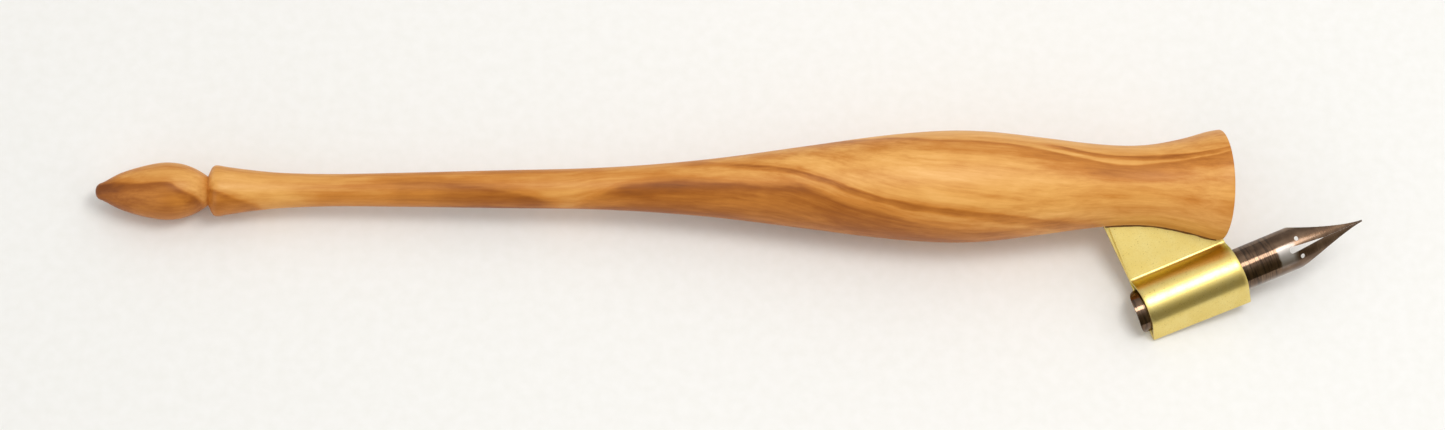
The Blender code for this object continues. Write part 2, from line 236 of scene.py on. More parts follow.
def olive_wood():
    """Olive wood, sanded and oiled: a close, even ground, darker sheets of grain, and a low, soft sheen."""
    material = bpy.data.materials.new("olive_wood_oiled")
    material.use_nodes = True
    tree = material.node_tree
    shader = tree.nodes["Principled BSDF"]
    back = pen.inverted()
    place = add_node(tree, "ShaderNodeTexCoord").outputs["Object"]
    place = add_node(tree, "ShaderNodeMapping", {
        "Vector": place, "Rotation": back.to_euler(), "Location": back.translation}).outputs[0]
    grain_mm = add_node(tree, "ShaderNodeVectorMath", {0: place, 1: (1000, 1000, 1000)},
                      operation="MULTIPLY").outputs[0]
    # Slow waves of 12 mm and 3 mm, long in the grain's direction, keep the sheets from looking ruled.
    wander = add_node(tree, "ShaderNodeVectorMath", {0: grain_mm, 1: (0.25, 1, 1)},
                      operation="MULTIPLY").outputs[0]
    slow = add_node(tree, "ShaderNodeTexNoise", {"Vector": wander, "Scale": 1 / 6, "Detail": 1.0}).outputs[0]
    fast = add_node(tree, "ShaderNodeTexNoise", {"Vector": wander, "Scale": 0.9, "Detail": 2.0}).outputs[0]
    shift = add_node(tree, "ShaderNodeMath", {0: slow, 1: 0.9}, operation="MULTIPLY").outputs[0]
    shift = add_node(tree, "ShaderNodeMath", {0: fast, 1: 0.45, 2: shift},
                     operation="MULTIPLY_ADD").outputs[0]
    shift = add_node(tree, "ShaderNodeMath", {0: shift, 1: 0.675}, operation="SUBTRACT").outputs[0]
    split = add_node(tree, "ShaderNodeSeparateXYZ", {0: grain_mm})
    along = add_node(tree, "ShaderNodeMapRange", {
        0: split.outputs[0], 1: GRAIN_START, 2: GRAIN_START + GRAIN_LENGTH}).outputs[0]
    sideways = add_node(tree, "ShaderNodeMath", {0: split.outputs[2], 1: -GRAIN_TILT, 2: split.outputs[1]},
                        operation="MULTIPLY_ADD").outputs[0]
    sideways = add_node(tree, "ShaderNodeMath", {0: sideways, 1: shift}).outputs[0]
    across = add_node(tree, "ShaderNodeMath", {0: sideways, 1: 1 / GRAIN_WIDTH, 2: 0.5},
                      operation="MULTIPLY_ADD").outputs[0]

    dark = None
    followed = None
    for name, (line, section, strength) in STREAKS.items():
        points = []
        for x, y in line:
            rise = math.sqrt(max(wood_radius(x * MM) ** 2 - (y * MM) ** 2, 0)) / MM
            points.append(((x - GRAIN_START) / GRAIN_LENGTH, (y - GRAIN_TILT * rise) / GRAIN_WIDTH + 0.5))
        middle = add_node(tree, "ShaderNodeFloatCurve", {"Value": along}, points=points,
                          label=name).outputs[0]
        off = add_node(tree, "ShaderNodeMath", {0: across, 1: middle}, operation="SUBTRACT").outputs[0]
        if name == "thin_streak":
            followed = off
        off = add_node(tree, "ShaderNodeMath", {0: off, 1: 0.5}).outputs[0]
        stops = [(0.5 + d / GRAIN_WIDTH, value) for d, value in section]
        shade = add_node(tree, "ShaderNodeValToRGB", {"Fac": off}, stops=stops, ramp="EASE").outputs[0]
        stops = [((x - GRAIN_START) / GRAIN_LENGTH, value) for x, value in strength]
        share = add_node(tree, "ShaderNodeValToRGB", {"Fac": along}, stops=stops, ramp="EASE").outputs[0]
        shade = add_node(tree, "ShaderNodeMath", {0: shade, 1: share}, operation="MULTIPLY").outputs[0]
        dark = shade if dark is None else add_node(
            tree, "ShaderNodeMath", {0: dark, 1: shade, 2: 0.08}, operation="SMOOTH_MAX").outputs[0]

    # Fibres run with the sheets: streaks 0.3 mm wide and about 6 mm long, and coarser ones 1.5 mm by 25 mm.
    fibre_place = add_node(tree, "ShaderNodeMath", {0: followed, 1: GRAIN_WIDTH},
                           operation="MULTIPLY").outputs[0]
    fibre_place = add_node(tree, "ShaderNodeCombineXYZ", {
        0: add_node(tree, "ShaderNodeMath", {0: split.outputs[0], 1: 0.055},
                    operation="MULTIPLY").outputs[0],
        1: fibre_place, 2: split.outputs[2]}).outputs[0]
    fine = add_node(tree, "ShaderNodeTexNoise", {"Vector": fibre_place, "Scale": 2.6, "Detail": 4.0,
                                                 "Roughness": 0.65}).outputs[0]
    coarse = add_node(tree, "ShaderNodeTexNoise", {
        "Vector": fibre_place, "Scale": 0.55, "Detail": 2.0}).outputs[0]
    # Mottling: cloudy patches 1 to 2 mm across, where the grain dips in and out of the turned surface.
    cloud_place = add_node(tree, "ShaderNodeVectorMath", {0: grain_mm, 1: (0.45, 1, 1)},
                           operation="MULTIPLY").outputs[0]
    cloud = add_node(tree, "ShaderNodeTexNoise", {"Vector": cloud_place, "Scale": 0.7, "Detail": 3.0,
                                                  "Roughness": 0.6}).outputs[0]

    tone = add_node(tree, "ShaderNodeMath", {0: coarse, 1: 0.55, 2: -0.11},
                    operation="MULTIPLY_ADD").outputs[0]
    tone = add_node(tree, "ShaderNodeMath", {0: fine, 1: 0.36, 2: tone}, operation="MULTIPLY_ADD").outputs[0]
    tone = add_node(tree, "ShaderNodeMath", {0: cloud, 1: 0.22, 2: tone},
                    operation="MULTIPLY_ADD").outputs[0]
    tone = add_node(tree, "ShaderNodeMath", {0: tone, 1: -0.21}).outputs[0]
    tone = add_node(tree, "ShaderNodeMath", {0: dark, 1: 0.62, 2: tone}, operation="MULTIPLY_ADD").outputs[0]
    # The wood is a little darker towards its tail and its front face than at the swell.
    darker = [((x - GRAIN_START) / GRAIN_LENGTH, value) for x, value in
              ((-136, 0.3), (-131, 0.12), (-124, 0.08), (-121, 0.05), (-100, 0.16), (-80, 0.14),
               (-55, 0.05), (-30, 0.0), (-8, 0.08), (0, 0.12))]
    tail = add_node(tree, "ShaderNodeValToRGB", {"Fac": along}, stops=darker).outputs[0]
    tone = add_node(tree, "ShaderNodeMath", {0: tone, 1: tail}).outputs[0]
    body = add_node(tree, "ShaderNodeValToRGB", {"Fac": tone}, stops=[
        (0.0, colour("#f4be73")), (0.25, colour("#e2a556")), (0.5, colour("#c67e2f")),
        (0.78, colour("#9c570e")), (1.0, colour("#7b3f05"))]).outputs[0]
    tree.links.new(body, shader.inputs["Base Color"])
    shader.inputs["IOR"].default_value = 1.46
    shader.inputs["Specular IOR Level"].default_value = 0.35
    rough = add_node(tree, "ShaderNodeMath", {0: fine, 1: 0.16, 2: 0.36},
                     operation="MULTIPLY_ADD").outputs[0]
    tree.links.new(rough, shader.inputs["Roughness"])
    bump = add_node(tree, "ShaderNodeBump", {
        "Height": fine, "Strength": 0.25, "Distance": 0.03 * MM}).outputs[0]
    tree.links.new(bump, shader.inputs["Normal"])
    return material


def lathe():
    """A tree that turns a line of points along X, each with its turned_radius, into a closed round piece."""
    tree = bpy.data.node_groups.new("lathe", "GeometryNodeTree")
    for name, kind in (("Line", "Geometry"), ("Facets", "Int"), ("Wood", "Material")):
        tree.interface.new_socket(name, in_out="INPUT", socket_type="NodeSocket" + kind)
    tree.interface.new_socket("Turned", in_out="OUTPUT", socket_type="NodeSocketGeometry")
    given = add_node(tree, "NodeGroupInput").outputs
    line = add_node(tree, "GeometryNodeMeshToCurve", {"Mesh": given["Line"]}).outputs[0]
    ring = add_node(tree, "GeometryNodeCurvePrimitiveCircle", {"Resolution": given["Facets"], "Radius": 1.0})
    radius = add_node(tree, "GeometryNodeInputNamedAttribute", {"Name": "turned_radius"}).outputs[0]
    turned = add_node(tree, "GeometryNodeCurveToMesh", {
        "Curve": line, "Profile Curve": ring.outputs[0], "Scale": radius, "Fill Caps": True}).outputs[0]
    turned = add_node(tree, "GeometryNodeRealizeInstances", {"Geometry": turned}).outputs[0]
    turned = add_node(tree, "GeometryNodeSetMaterial", {
        "Geometry": turned, "Material": given["Wood"]}).outputs[0]
    add_node(tree, "NodeGroupOutput", {0: turned})
    return tree


def set_inputs(modifier, **values):
    """Sets a tree's named inputs by their sockets' identifiers."""
    for item in modifier.node_group.interface.items_tree:
        if item.in_out == "INPUT" and item.name in values:
            modifier[item.identifier] = values[item.name]


axis_line = bpy.data.meshes.new("holder")
axis_line.from_pydata([(x, 0, 0) for x, _ in OUTLINE], [(i, i + 1) for i in range(len(OUTLINE) - 1)], [])
radii = axis_line.attributes.new("turned_radius", "FLOAT", "POINT")
radii.data.foreach_set("value", [r for _, r in OUTLINE])
wood = olive_wood()
holder = new_piece("turned_holder", axis_line)
turning = holder.modifiers.new("turning", "NODES")
turning.node_group = lathe()
set_inputs(turning, Facets=FACETS, Wood=wood)
kerf = slab("kerf", [(-KERF_DEPTH, -KERF_REACH), (MM, -KERF_REACH), (MM, KERF_TOP), (-KERF_DEPTH, KERF_TOP)],
            -KERF_WIDTH / 2, KERF_WIDTH / 2)
cut(holder, kerf)
settle(holder, pen, 40)
bpy.data.objects.remove(kerf)
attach(holder, "pen")
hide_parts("holder")


# ---------------------------------------------------------------- brass flange
# One strip of sheet brass, folded back on itself at the barrel's outer edge. The two leaves lie together in
# the web and part round the nib: the upper arches over it and the lower presses up inside its hollow.

BRASS = 0.4 * MM
LEAF_GAP = 0.05 * MM
BARREL_LENGTH = 12.88 * MM
FRONT_LEAD = 0.07 * MM
REAR_SKEW = 0.012
FRONT_SKEW = 0.05
ROOT_END = 13.0 * MM
LOWER_LEAF_TURN = 0.062
FOLD_LINE = 4.2 * MM
SIDE_ARCH_RADIUS = 3.85 * MM
RISER_ANGLE = math.radians(65)
RISER_FILLET = 0.7 * MM
LIP_ANGLE_REAR = math.radians(48.5)
LIP_ANGLE_FRONT = math.radians(44)
HAIRPIN_RADIUS = 0.26 * MM
TONGUE_ANGLE = math.radians(75)
TONGUE_FILLET = 0.4 * MM
BURR = 0.05 * MM
# Where the painted shade in the crease beside the barrel lies, and its half width, in mm.
CREASE_SHADE_LINE, CREASE_SHADE_HALF = 3.3, 0.6
NIB_RADIUS = 2.72 * MM
NIB_STEEL = 0.2 * MM
NIB_PLAY = 0.05 * MM
NIB_CENTRE_Z = -0.1 * MM


def bend(centre, radius, start, end, steps):
    """Points round a bend, angles taken from straight up towards +Y."""
    return [(centre[0] + radius * math.sin(start + (end - start) * k / steps),
             centre[1] + radius * math.cos(start + (end - start) * k / steps)) for k in range(steps + 1)]


def foot_of(centre_z, radius, level, angle, fillet):
    """How far out an arch's side turns flat at this level."""
    drop = centre_z + radius * math.cos(angle) - level
    return radius * math.sin(angle) + drop / math.tan(angle) + fillet * math.tan(angle / 2)


def strip_section(lip_angle):
    """The strip's middle line across the barrel, (y, z), from the upper leaf's root to the lower's."""
    upper, lower = (BRASS + LEAF_GAP) / 2, -(BRASS + LEAF_GAP) / 2
    arch = NIB_RADIUS + NIB_PLAY + BRASS / 2
    tongue = NIB_RADIUS - NIB_STEEL - NIB_PLAY - BRASS / 2
    side_z = NIB_CENTRE_Z + arch - SIDE_ARCH_RADIUS
    fold = foot_of(side_z, SIDE_ARCH_RADIUS, upper, RISER_ANGLE, RISER_FILLET)
    toe = foot_of(NIB_CENTRE_Z, tongue, lower, TONGUE_ANGLE, TONGUE_FILLET)
    lip_y, lip_z = -arch * math.sin(lip_angle), NIB_CENTRE_Z + arch * math.cos(lip_angle)
    turn_z = lower + HAIRPIN_RADIUS
    drop = lip_z - turn_z - HAIRPIN_RADIUS * math.cos(lip_angle)
    turn_y = lip_y - drop / math.tan(lip_angle) + HAIRPIN_RADIUS * math.sin(lip_angle)
    line = [(ROOT_END - (ROOT_END - fold) * k / 6, upper) for k in range(6)]
    line += bend((fold, upper + RISER_FILLET), RISER_FILLET, math.pi, math.pi + RISER_ANGLE, 16)
    line += bend((0, side_z), SIDE_ARCH_RADIUS, RISER_ANGLE, 0, 32)[:-1]
    line += bend((0, NIB_CENTRE_Z), arch, 0, -lip_angle, 26)
    line += bend((turn_y, turn_z), HAIRPIN_RADIUS, -lip_angle, -math.pi, 18)
    line += bend((-toe, lower + TONGUE_FILLET), TONGUE_FILLET, math.pi, math.pi - TONGUE_ANGLE, 10)
    line += bend((0, NIB_CENTRE_Z), tongue, -TONGUE_ANGLE, TONGUE_ANGLE, 48)
    line += bend((toe, lower + TONGUE_FILLET), TONGUE_FILLET, math.pi + TONGUE_ANGLE, math.pi, 10)
    return line + [(FOLD_LINE + (ROOT_END - FOLD_LINE) * k / 6, lower) for k in range(7)]


def strip_mesh():
    """The folded strip as a sheet without thickness, in the barrel's frame."""
    rear, front = strip_section(LIP_ANGLE_REAR), strip_section(LIP_ANGLE_FRONT)
    rows, count = 24, len(rear)
    points, faces = [], []
    for j in range(rows + 1):
        share = j / rows
        for (yr, zr), (yf, zf) in zip(rear, front):
            askew = LOWER_LEAF_TURN * max(yr - FOLD_LINE, 0) if zr < 0 else 0
            x_rear = -BARREL_LENGTH - REAR_SKEW * yr - askew
            x_front = FRONT_LEAD - FRONT_SKEW * yf
            points.append((x_rear + (x_front - x_rear) * share,
                           yr + (yf - yr) * share, zr + (zf - zr) * share))
    for j in range(rows):
        for i in range(count - 1):
            a = j * count + i
            faces.append((a, a + 1, a + count + 1, a + count))
    mesh = bpy.data.meshes.new("flange")
    mesh.from_pydata(points, [], faces)
    return mesh


def satin_brass():
    """Sheet brass, rolled and rubbed satin, not lacquered: soft wide reflections and a faint brown bloom."""
    material = bpy.data.materials.new("satin_sheet_brass")
    material.use_nodes = True
    tree = material.node_tree
    shader = tree.nodes["Principled BSDF"]
    back = barrel.inverted()
    place = add_node(tree, "ShaderNodeTexCoord").outputs["Object"]
    place = add_node(tree, "ShaderNodeMapping", {
        "Vector": place, "Rotation": back.to_euler(), "Location": back.translation}).outputs[0]
    place = add_node(tree, "ShaderNodeVectorMath", {0: place, 1: (1000, 1000, 1000)},
                     operation="MULTIPLY").outputs[0]
    # Tarnish in clouds of 2 mm, and specks of 0.2 mm left by the rubbing.
    bloom = add_node(tree, "ShaderNodeTexNoise", {"Vector": place, "Scale": 0.45, "Detail": 4.0,
                                                  "Roughness": 0.6}).outputs[0]
    specks = add_node(tree, "ShaderNodeTexNoise", {"Vector": place, "Scale": 5.0, "Detail": 2.0}).outputs[0]
    tone = add_node(tree, "ShaderNodeMath", {0: specks, 1: 0.5, 2: bloom},
                    operation="MULTIPLY_ADD").outputs[0]
    metal = add_node(tree, "ShaderNodeValToRGB", {"Fac": tone}, stops=[
        (0.45, colour("#e2c973")), (0.72, colour("#e7d07f")), (1.0, colour("#ecd88c"))]).outputs[0]
    # Painted shade darkens the crease beside the barrel, and pits 0.1 mm wide are scattered over the sheet.
    out = add_node(tree, "ShaderNodeSeparateXYZ", {0: place}).outputs[1]
    crease_shade = add_node(tree, "ShaderNodeMath", {0: out, 1: CREASE_SHADE_LINE}, operation="SUBTRACT").outputs[0]
    crease_shade = add_node(tree, "ShaderNodeMath", {0: crease_shade}, operation="ABSOLUTE").outputs[0]
    crease_shade = add_node(tree, "ShaderNodeMapRange", {
        0: crease_shade, 1: CREASE_SHADE_HALF, 2: 0.15, 3: 0.0, 4: 0.9}).outputs[0]
    # The crease is mixed towards a darker brass: painted shade, not dirt.
    metal = add_node(tree, "ShaderNodeMix", {"Factor": crease_shade, 6: metal, 7: colour("#c9b645")},
                     data_type="RGBA").outputs[2]
    pits = add_node(tree, "ShaderNodeTexNoise", {"Vector": place, "Scale": 6.5, "Detail": 1.0}).outputs[0]
    pits = add_node(tree, "ShaderNodeMapRange", {0: pits, 1: 0.66, 2: 0.74, 3: 0.0, 4: 0.55}).outputs[0]
    metal = add_node(tree, "ShaderNodeMix", {"Factor": pits, 6: metal, 7: colour("#a5873c")},
                     data_type="RGBA").outputs[2]
    tree.links.new(metal, shader.inputs["Base Color"])
    shader.inputs["Metallic"].default_value = 1.0
    rough = add_node(tree, "ShaderNodeMath", {0: tone, 1: -0.10, 2: 0.38},
                     operation="MULTIPLY_ADD").outputs[0]
    # The web, held between finger and wood, is rubbed duller than the barrel.
    web = add_node(tree, "ShaderNodeMapRange", {0: out, 1: 3.6, 2: 4.4}).outputs[0]
    rough = add_node(tree, "ShaderNodeMath", {0: web, 1: 0.1, 2: rough}, operation="MULTIPLY_ADD").outputs[0]
    tree.links.new(rough, shader.inputs["Roughness"])
    # Rubbing lines run round the strip, 0.1 mm apart.
    lines = add_node(tree, "ShaderNodeVectorMath", {0: place, 1: (10, 0.6, 0.6)},
                     operation="MULTIPLY").outputs[0]
    lines = add_node(tree, "ShaderNodeTexNoise", {"Vector": lines, "Scale": 1.0, "Detail": 2.0}).outputs[0]
    height = add_node(tree, "ShaderNodeMath", {0: specks, 1: 0.8, 2: lines},
                      operation="MULTIPLY_ADD").outputs[0]
    bump = add_node(tree, "ShaderNodeBump", {
        "Height": height, "Strength": 0.3, "Distance": 0.02 * MM}).outputs[0]
    tree.links.new(bump, shader.inputs["Normal"])
    return material


flange = new_piece("folded_flange", strip_mesh())
flange.data.materials.append(satin_brass())
sheet = flange.modifiers.new("sheet", "SOLIDIFY")
sheet.thickness, sheet.offset, sheet.use_even_offset = BRASS, 0.0, True
edges = flange.modifiers.new("edges", "BEVEL")
edges.width, edges.segments, edges.limit_method, edges.angle_limit = BURR, 2, "ANGLE", math.radians(60)
settle(flange, barrel, 35)
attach(flange, "pen")
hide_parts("flange")


# ---------------------------------------------------------------- glue
# Epoxy with wood dust fills the kerf round the flange's root. A thin bead of it squeezed out along both
# joints between brass and wood, and its dark line is also painted shade for the contact shadow there.

BEAD_RADIUS = 0.16 * MM
BEAD_STEP = 0.4 * MM
BEAD_START = -14.6 * MM
BEAD_POINTS = 36


def hard_glue():
    """Set epoxy darkened with wood dust: brown, slightly glossy and lumpy."""
    material = bpy.data.materials.new("epoxy_with_wood_dust")
    material.use_nodes = True
    tree = material.node_tree
    shader = tree.nodes["Principled BSDF"]
    place = add_node(tree, "ShaderNodeTexCoord").outputs["Object"]
    lumps = add_node(tree, "ShaderNodeTexNoise", {
        "Vector": place, "Scale": 2500.0, "Detail": 3.0}).outputs[0]
    tint = add_node(tree, "ShaderNodeValToRGB", {"Fac": lumps}, stops=[
        (0.3, colour("#553410")), (0.7, colour("#7d5019"))]).outputs[0]
    tree.links.new(tint, shader.inputs["Base Color"])
    shader.inputs["Roughness"].default_value = 0.4
    bump = add_node(tree, "ShaderNodeBump", {
        "Height": lumps, "Strength": 0.4, "Distance": 0.05 * MM}).outputs[0]
    tree.links.new(bump, shader.inputs["Normal"])
    return material


def bead_tree():
    """A tree that runs a bead of glue along a line of points, thicker and thinner as it was squeezed out."""
    tree = bpy.data.node_groups.new("glue_bead", "GeometryNodeTree")
    for name, kind in (("Line", "Geometry"), ("Radius", "Float"), ("Unevenness", "Float"), ("Seed", "Float"),
                       ("Glue", "Material")):
        tree.interface.new_socket(name, in_out="INPUT", socket_type="NodeSocket" + kind)
    tree.interface.new_socket("Bead", in_out="OUTPUT", socket_type="NodeSocketGeometry")
    given = add_node(tree, "NodeGroupInput").outputs
    line = add_node(tree, "GeometryNodeMeshToCurve", {"Mesh": given["Line"]}).outputs[0]
    place = add_node(tree, "GeometryNodeInputPosition").outputs[0]
    swell = add_node(tree, "ShaderNodeTexNoise", {"Vector": place, "W": given["Seed"], "Scale": 900.0},
                     noise_dimensions="4D").outputs[0]
    swell = add_node(tree, "ShaderNodeMath", {0: swell, 1: -0.5}).outputs[0]
    swell = add_node(tree, "ShaderNodeMath", {0: swell, 1: given["Unevenness"], 2: 1.0},
                     operation="MULTIPLY_ADD").outputs[0]
    ring = add_node(tree, "GeometryNodeCurvePrimitiveCircle", {"Resolution": 10, "Radius": given["Radius"]})
    bead = add_node(tree, "GeometryNodeCurveToMesh", {
        "Curve": line, "Profile Curve": ring.outputs[0], "Scale": swell, "Fill Caps": True}).outputs[0]
    bead = add_node(tree, "GeometryNodeRealizeInstances", {"Geometry": bead}).outputs[0]
    bead = add_node(tree, "GeometryNodeSetMaterial", {
        "Geometry": bead, "Material": given["Glue"]}).outputs[0]
    add_node(tree, "NodeGroupOutput", {0: bead})
    return tree


glue = hard_glue()
packed_glue = frame["nodes"]["flange_glue"]
packed_glue.data.materials.clear()
packed_glue.data.materials.append(glue)
bead_nodes = bead_tree()
web_half = (2 * BRASS + LEAF_GAP) / 2
# Each bead is glue and, by its dark colour, also painted shade along the joint.
for side, name in ((1, "glue_bead_and_shade_upper"), (-1, "glue_bead_and_shade_lower")):
    stretch = [BEAD_START + BEAD_STEP * k for k in range(BEAD_POINTS)]
    points = [(x, -math.sqrt(wood_radius(x) ** 2 - web_half**2), side * web_half) for x in stretch]
    run = bpy.data.meshes.new(name)
    run.from_pydata(points, [(i, i + 1) for i in range(len(points) - 1)], [])
    bead = new_piece(name, run)
    squeezed = bead.modifiers.new("bead", "NODES")
    squeezed.node_group = bead_nodes
    set_inputs(squeezed, Radius=BEAD_RADIUS, Unevenness=1.6, Seed=2.0 + side, Glue=glue)
    settle(bead, pen, 60)
    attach(bead, "pen")


# ---------------------------------------------------------------- steel nib
# A pointed nib, stamped from spring steel, rolled to a half tube, hardened and tempered to a bronze brown.
# Its vent and slit are pierced before rolling, and its back is ground across near the vent.

NIB_HALF_ARC = math.radians(80)
NIB_REAR = -14.25 * MM
NIB_SHOULDER = 7.7 * MM
NIB_TIP = 16.66 * MM
TIP_HALF_WIDTH = 0.11 * MM
TIP_RADIUS = 1.1 * MM
TIP_DROOP = 0.9 * MM
REAR_CORNER = 1.1 * MM
REAR_CORNER_POWER = 4
BLADE_TAPER = 1.4
BLADE_ROLL_TAPER = 1.5
TIP_DROOP_CURVE = 1.6
SLIT_WIDTH = 0.02 * MM
VENT_CENTRE = 6.9 * MM
VENT_RADIUS = 0.42 * MM
VENT_END = 11.2 * MM
SIDE_HOLE = (7.9 * MM, 1.15 * MM)
SIDE_HOLE_RADIUS = 0.28 * MM
NIB_ROWS, NIB_COLUMNS = 150, 40
REAR_CORNER_ROWS = 12
PUNCH_REACH = 5 * MM
PUNCH_FACETS = 24
GROUND_FROM, GROUND_TO = 5.1, 6.9
SCRATCH_ANGLE = math.radians(14)


def nib_sheet():
    """The rolled nib as a sheet without thickness, in the barrel's frame."""
    shank_width = NIB_RADIUS * math.sin(NIB_HALF_ARC)
    points = []
    for i in range(NIB_ROWS + 1):
        station = NIB_REAR + (NIB_TIP - NIB_REAR) * i / NIB_ROWS
        share = max(0.0, (station - NIB_SHOULDER) / (NIB_TIP - NIB_SHOULDER))
        radius = NIB_RADIUS + (TIP_RADIUS - NIB_RADIUS) * share**BLADE_ROLL_TAPER
        width = TIP_HALF_WIDTH + (shank_width - TIP_HALF_WIDTH) * (1 - share) ** BLADE_TAPER
        half_arc = min(NIB_HALF_ARC, math.asin(min(1.0, width / radius)))
        crown = NIB_CENTRE_Z + NIB_RADIUS - NIB_STEEL / 2 - TIP_DROOP * share**TIP_DROOP_CURVE
        middle = radius - NIB_STEEL / 2
        corner = REAR_CORNER * max(0.0, 1 - i / REAR_CORNER_ROWS)
        for k in range(NIB_COLUMNS + 1):
            side = 2 * k / NIB_COLUMNS - 1
            angle = side * half_arc
            points.append((station + corner * abs(side) ** REAR_CORNER_POWER, middle * math.sin(angle),
                           crown - middle * (1 - math.cos(angle))))
    row = NIB_COLUMNS + 1
    faces = [(i * row + k, (i + 1) * row + k, (i + 1) * row + k + 1, i * row + k + 1)
             for i in range(NIB_ROWS) for k in range(NIB_COLUMNS)]
    mesh = bpy.data.meshes.new("nib")
    mesh.from_pydata(points, [], faces)
    return mesh


def vent_outline():
    """A teardrop that runs out into the slit and past the point."""
    rounding = [(VENT_CENTRE + VENT_RADIUS * math.cos(a), VENT_RADIUS * math.sin(a))
                for a in (math.radians(100 + 160 * k / 20) for k in range(21))]
    half_slit, past = SLIT_WIDTH / 2, NIB_TIP + MM
    return rounding + [(VENT_END, -half_slit), (past, -half_slit), (past, half_slit), (VENT_END, half_slit)]


def round_outline(x, y, radius):
    turns = [math.tau * k / PUNCH_FACETS for k in range(PUNCH_FACETS)]
    return [(x + radius * math.cos(a), y + radius * math.sin(a)) for a in turns]


def bronzed_steel():
    """Tempered spring steel: a bronze-brown oxide over a smooth rolled surface, rubbed grey in places."""
    material = bpy.data.materials.new("tempered_spring_steel")
    material.use_nodes = True
    tree = material.node_tree
    shader = tree.nodes["Principled BSDF"]
    back = barrel.inverted()
    place = add_node(tree, "ShaderNodeTexCoord").outputs["Object"]
    place = add_node(tree, "ShaderNodeMapping", {
        "Vector": place, "Rotation": back.to_euler(), "Location": back.translation}).outputs[0]
    place = add_node(tree, "ShaderNodeVectorMath", {0: place, 1: (1000, 1000, 1000)},
                     operation="MULTIPLY").outputs[0]
    split = add_node(tree, "ShaderNodeSeparateXYZ", {0: place})
    # The oxide lies in clouds of 1 mm. Between the vent and the barrel the steel is ground back to grey.
    cloud = add_node(tree, "ShaderNodeTexNoise", {"Vector": place, "Scale": 0.8, "Detail": 4.0}).outputs[0]
    reach = add_node(tree, "ShaderNodeMath", {0: cloud, 1: 0.5, 2: split.outputs[0]},
                     operation="MULTIPLY_ADD").outputs[0]
    begun = add_node(tree, "ShaderNodeMapRange", {
        0: reach, 1: GROUND_FROM, 2: GROUND_FROM + 0.25}).outputs[0]
    ended = add_node(tree, "ShaderNodeMapRange", {0: reach, 1: GROUND_TO, 2: GROUND_TO + 0.9}).outputs[0]
    ground = add_node(tree, "ShaderNodeMath", {0: begun, 1: ended}, operation="SUBTRACT").outputs[0]
    near = add_node(tree, "ShaderNodeMapRange", {0: split.outputs[1], 1: 1.1, 2: 0.5}).outputs[0]
    ground = add_node(tree, "ShaderNodeMath", {0: ground, 1: near}, operation="MULTIPLY").outputs[0]
    far = add_node(tree, "ShaderNodeMapRange", {0: split.outputs[1], 1: -1.9, 2: -0.7}).outputs[0]
    ground = add_node(tree, "ShaderNodeMath", {0: ground, 1: far}, operation="MULTIPLY").outputs[0]
    oxide = add_node(tree, "ShaderNodeValToRGB", {"Fac": cloud}, stops=[
        (0.3, colour("#5d4634")), (0.5, colour("#6b533f")), (0.72, colour("#7f6650"))]).outputs[0]
    tint = add_node(tree, "ShaderNodeMix", {"Factor": ground, 6: oxide, 7: colour("#aca6a0")},
                    data_type="RGBA").outputs[2]
    # Scratches of 0.1 mm run askew across the shank, left by pushing the nib in and out.
    askew = add_node(tree, "ShaderNodeMapping", {
        "Vector": place, "Rotation": (0, 0, SCRATCH_ANGLE), "Scale": (5.5, 0.35, 0.35)}).outputs[0]
    scratch = add_node(tree, "ShaderNodeTexNoise", {"Vector": askew, "Scale": 1.0, "Detail": 2.0}).outputs[0]
    scratch = add_node(tree, "ShaderNodeMapRange", {0: scratch, 1: 0.52, 2: 0.58}).outputs[0]
    shank = add_node(tree, "ShaderNodeMapRange", {
        0: split.outputs[0], 1: 5.2, 2: 4.4, 3: 0.0, 4: 0.6}).outputs[0]
    scratch = add_node(tree, "ShaderNodeMath", {0: scratch, 1: shank}, operation="MULTIPLY").outputs[0]
    tint = add_node(tree, "ShaderNodeMix", {"Factor": scratch, 6: tint, 7: colour("#241a12")},
                    data_type="RGBA").outputs[2]
    tree.links.new(tint, shader.inputs["Base Color"])
    shader.inputs["Metallic"].default_value = 1.0
    # Nibs leave the works with a thin clear varnish against rust.
    shader.inputs["Coat Weight"].default_value = 0.4
    shader.inputs["Coat Roughness"].default_value = 0.1
    # Grinding lines run across the nib, 0.1 to 0.2 mm apart.
    lines = add_node(tree, "ShaderNodeVectorMath", {0: place, 1: (7, 0.5, 0.5)},
                     operation="MULTIPLY").outputs[0]
    lines = add_node(tree, "ShaderNodeTexNoise", {"Vector": lines, "Scale": 1.0, "Detail": 3.0}).outputs[0]
    rough = add_node(tree, "ShaderNodeMath", {0: lines, 1: 0.10, 2: 0.09},
                     operation="MULTIPLY_ADD").outputs[0]
    blade = add_node(tree, "ShaderNodeMapRange", {0: split.outputs[0], 1: 4.5, 2: 8.0}).outputs[0]
    rough = add_node(tree, "ShaderNodeMath", {0: blade, 1: 0.12, 2: rough},
                     operation="MULTIPLY_ADD").outputs[0]
    rough = add_node(tree, "ShaderNodeMath", {0: ground, 1: 0.28, 2: rough},
                     operation="MULTIPLY_ADD").outputs[0]
    tree.links.new(rough, shader.inputs["Roughness"])
    bump = add_node(tree, "ShaderNodeBump", {
        "Height": lines, "Strength": 0.25, "Distance": 0.02 * MM}).outputs[0]
    tree.links.new(bump, shader.inputs["Normal"])
    return material


